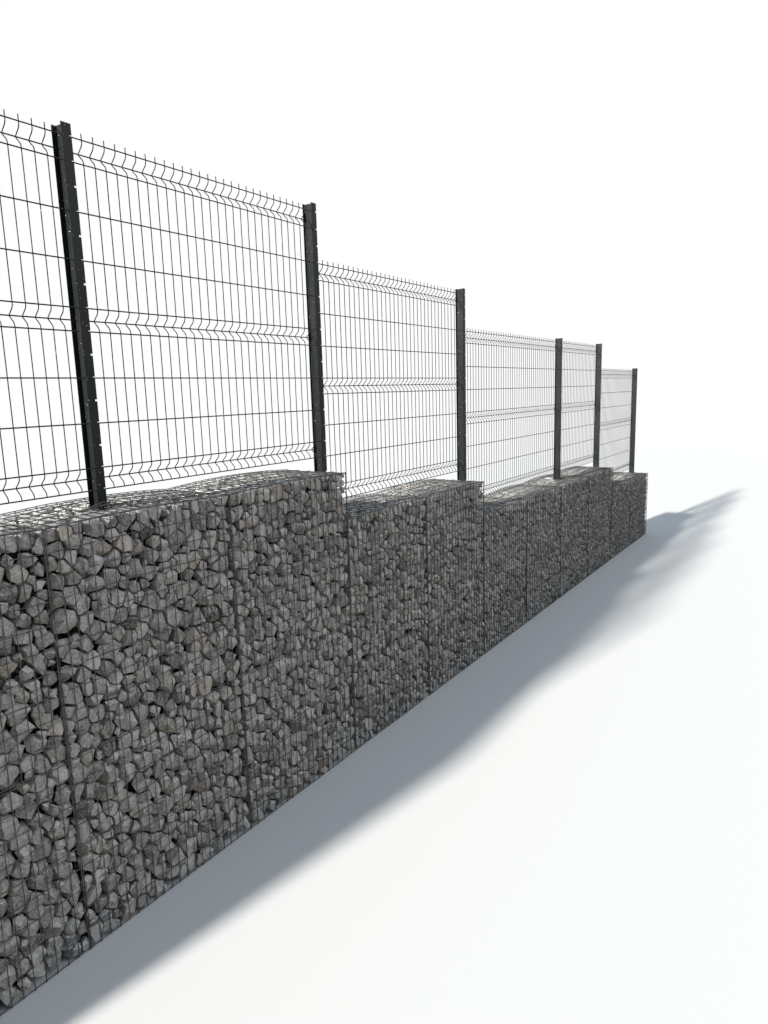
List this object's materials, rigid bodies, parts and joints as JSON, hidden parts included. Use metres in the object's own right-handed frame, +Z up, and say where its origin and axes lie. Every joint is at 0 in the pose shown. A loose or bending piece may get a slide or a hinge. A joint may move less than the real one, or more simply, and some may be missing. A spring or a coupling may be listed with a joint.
{
  "type": "stepped gabion wall with a rigid mesh fence along its top",
  "caption": "Stepped wall of wire baskets filled with crushed stone, with a folded mesh fence on notched posts along its top.",
  "frame": {"origin": "middle of the wall's base, on the level that all its footings stand on", "axes": "+X along the wall from its high end to its low end, +Y from the front face to the back face, +Z up"},
  "size_m": [12, 0.5, 3.537],
  "materials": {
    "stone_fill": "rough crushed limestone",
    "basket_wire": "dull galvanised wire",
    "post_coat": "satin anthracite powder coat",
    "panel_coat": "satin anthracite powder coat"
  },
  "bodies": {
    "root": {"basket_1_cage": "basket_wire", "basket_1_stones": "stone_fill", "basket_1_lid": "basket_wire", "basket_2_cage": "basket_wire", "basket_2_stones": "stone_fill", "basket_2_lid": "basket_wire", "basket_3_cage": "basket_wire", "basket_3_stones": "stone_fill", "basket_3_lid": "basket_wire", "basket_4_cage": "basket_wire", "basket_4_stones": "stone_fill", "basket_4_lid": "basket_wire", "basket_5_cage": "basket_wire", "basket_5_stones": "stone_fill", "basket_5_lid": "basket_wire", "basket_6_cage": "basket_wire", "basket_6_stones": "stone_fill", "basket_6_lid": "basket_wire", "footing_1_cage": "basket_wire", "footing_1_stones": "stone_fill", "footing_2_cage": "basket_wire", "footing_2_stones": "stone_fill", "footing_3_cage": "basket_wire", "footing_3_stones": "stone_fill", "footing_4_cage": "basket_wire", "footing_4_stones": "stone_fill", "footing_5_cage": "basket_wire", "footing_5_stones": "stone_fill", "post_1": "post_coat", "post_2": "post_coat", "post_3": "post_coat", "post_4": "post_coat", "post_5": "post_coat", "post_6": "post_coat", "post_7": "post_coat", "fence_panel_1": "panel_coat", "fence_panel_2": "panel_coat", "fence_panel_3": "panel_coat", "fence_panel_4": "panel_coat", "fence_panel_5": "panel_coat", "fence_panel_6": "panel_coat"}
  },
  "joints": []
}
